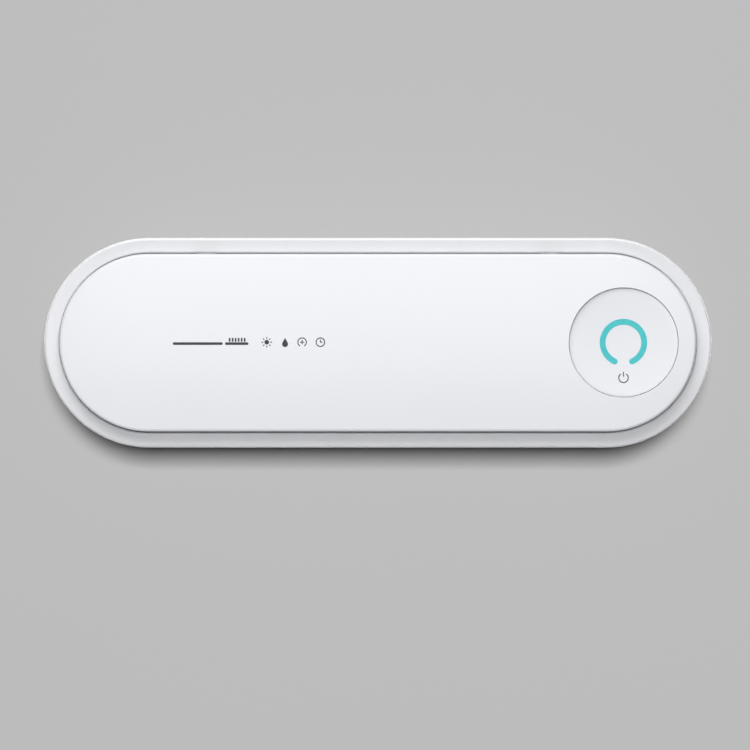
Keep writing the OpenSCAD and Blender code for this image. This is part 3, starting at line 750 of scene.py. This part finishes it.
def one_sided(name, color, rough, glow=0.0):
    """Matt paint seen from its front only, so views from behind look through it."""
    mat, tree, shader = material(name)
    tree.links.new(ramp(tree, object_noise(tree, 6, 3), tuple(c * 0.996 for c in color), color),
                   shader.inputs["Base Color"])
    shader.inputs["Roughness"].default_value = rough
    shader.inputs["Specular IOR Level"].default_value = 0.0
    shader.inputs["Emission Color"].default_value = (1, 1, 1, 1)
    shader.inputs["Emission Strength"].default_value = glow
    geometry = tree.nodes.new("ShaderNodeNewGeometry")
    see_through = tree.nodes.new("ShaderNodeBsdfTransparent")
    mix = tree.nodes.new("ShaderNodeMixShader")
    tree.links.new(geometry.outputs["Backfacing"], mix.inputs[0])
    tree.links.new(shader.outputs["BSDF"], mix.inputs[1])
    tree.links.new(see_through.outputs["BSDF"], mix.inputs[2])
    tree.links.new(mix.outputs["Shader"], tree.nodes["Material Output"].inputs["Surface"])
    return mat


def stage_plane(name, corners, mat):
    mesh = bpy.data.meshes.new(name)
    mesh.from_pydata(corners, [], [(0, 1, 2, 3)])
    obj = bpy.data.objects.new(name, mesh)
    scene.collection.objects.link(obj)
    mesh.materials.append(mat)
    return obj


wall_y = 0.4 * MM
wall = stage_plane("wall", [(-ROOM, wall_y, FLOOR_Z), (ROOM, wall_y, FLOOR_Z),
                            (ROOM, wall_y, ROOM), (-ROOM, wall_y, ROOM)],
                   one_sided("wall_paint", WALL_GREY, 0.9, WALL_GLOW))
floor = stage_plane("floor", [(-ROOM, -ROOM, FLOOR_Z), (ROOM, -ROOM, FLOOR_Z),
                              (ROOM, ROOM, FLOOR_Z), (-ROOM, ROOM, FLOOR_Z)],
                    one_sided("floor_paint", (0.45, 0.45, 0.45), 0.8, 0.36))
backdrop = stage_plane("backdrop", [(ROOM, -ROOM, FLOOR_Z), (-ROOM, -ROOM, FLOOR_Z),
                                    (-ROOM, -ROOM, ROOM), (ROOM, -ROOM, ROOM)],
                       one_sided("backdrop_paint", (0.5, 0.5, 0.5), 0.9, 0.34))
side_drop = stage_plane("side_drop", [(-ROOM, -ROOM, FLOOR_Z), (-ROOM, ROOM, FLOOR_Z),
                                      (-ROOM, ROOM, ROOM), (-ROOM, -ROOM, ROOM)],
                        one_sided("side_drop_paint", (0.5, 0.5, 0.5), 0.9, 0.34))
for plane, rays in ((wall, ("glossy", "transmission", "shadow")), (floor, ("diffuse", "glossy", "shadow")),
                    (backdrop, ("diffuse", "glossy", "transmission", "shadow")),
                    (side_drop, ("diffuse", "glossy", "transmission", "shadow"))):
    for ray in rays:
        setattr(plane, "visible_" + ray, False)


def receivers(name, objects):
    group = bpy.data.collections.new(name)
    for obj in objects:
        group.objects.link(obj)
    return group


wall_only = receivers("lit_wall", [wall])
rim_only = receivers("lit_rim", [frame_shell])
cover_only = receivers("lit_cover", [cover_shell])
all_but_wall = receivers("lit_object", [o for o in scene.collection.all_objects
                                        if o.type == "MESH" and o != wall])


def aim(obj, at, target):
    obj.location = at
    obj.rotation_euler = (Vector(target) - Vector(at)).to_track_quat("-Z", "Y").to_euler()


def lamp(name, at, target, power, size, only, gloss=1.0):
    """Softbox that lights one group of objects."""
    data = bpy.data.lights.new(name, "AREA")
    data.energy = power
    data.specular_factor = gloss
    data.shape = "RECTANGLE"
    data.size, data.size_y = size
    obj = bpy.data.objects.new(name, data)
    scene.collection.objects.link(obj)
    aim(obj, at, target)
    obj.visible_camera = False
    obj.light_linking.receiver_collection = only
    return obj


def direction(azimuth, elevation, distance):
    """A point round the object: azimuth 0 is in front, positive to the right."""
    a, e = math.radians(azimuth), math.radians(elevation)
    return Vector((math.sin(a) * math.cos(e), -math.cos(a) * math.cos(e), math.sin(e))) * distance


middle = Vector((0, -COVER_FRONT, 0))
lamp("wall_light", direction(1, 6.8, 3), (0, 0, 0), 370, (0.6, 0.6), wall_only)
lamp("key", middle + direction(-8, 48, 1.1), middle, 12.0, (1.0, 0.8), all_but_wall)
lamp("edge_light", middle + direction(0, 82, 0.9), middle, 1.6, (1.0, 0.2), rim_only)
lamp("lip_light", middle + direction(0, -97, 0.9), middle, 1.0, (1.0, 0.2), cover_only)
lamp("front_fill", middle + direction(0, 8, 1.8), middle, 6.6, (1.4, 0.9), all_but_wall, 0.5)
lamp("low_fill", middle + direction(0, -52, 1.0), middle, 4.2, (1.2, 0.4), all_but_wall, 0.6)
lamp("back_fill", direction(150, 4, 1.2), (0, 0, 0), 9.0, (0.9, 0.6), all_but_wall)
lamp("back_side", direction(-140, 10, 1.2), (0, 0, 0), 6.0, (0.9, 0.6), all_but_wall)

world = bpy.data.worlds.new("studio")
scene.world = world
world.use_nodes = True
world.node_tree.nodes["Background"].inputs["Color"].default_value = (1, 1, 1, 1)
world.node_tree.nodes["Background"].inputs["Strength"].default_value = 0.07

camera_data = bpy.data.cameras.new("camera")
camera_data.lens = 150
camera_data.sensor_width = 36
camera = bpy.data.objects.new("camera", camera_data)
scene.collection.objects.link(camera)
CAMERA_X, CAMERA_DISTANCE, CAMERA_Z = -0.9 * MM, 1033 * MM, -10.3 * MM
aim(camera, (CAMERA_X, -CAMERA_DISTANCE, CAMERA_Z), (CAMERA_X, 0, CAMERA_Z))
camera_data.clip_start = 0.01
scene.camera = camera
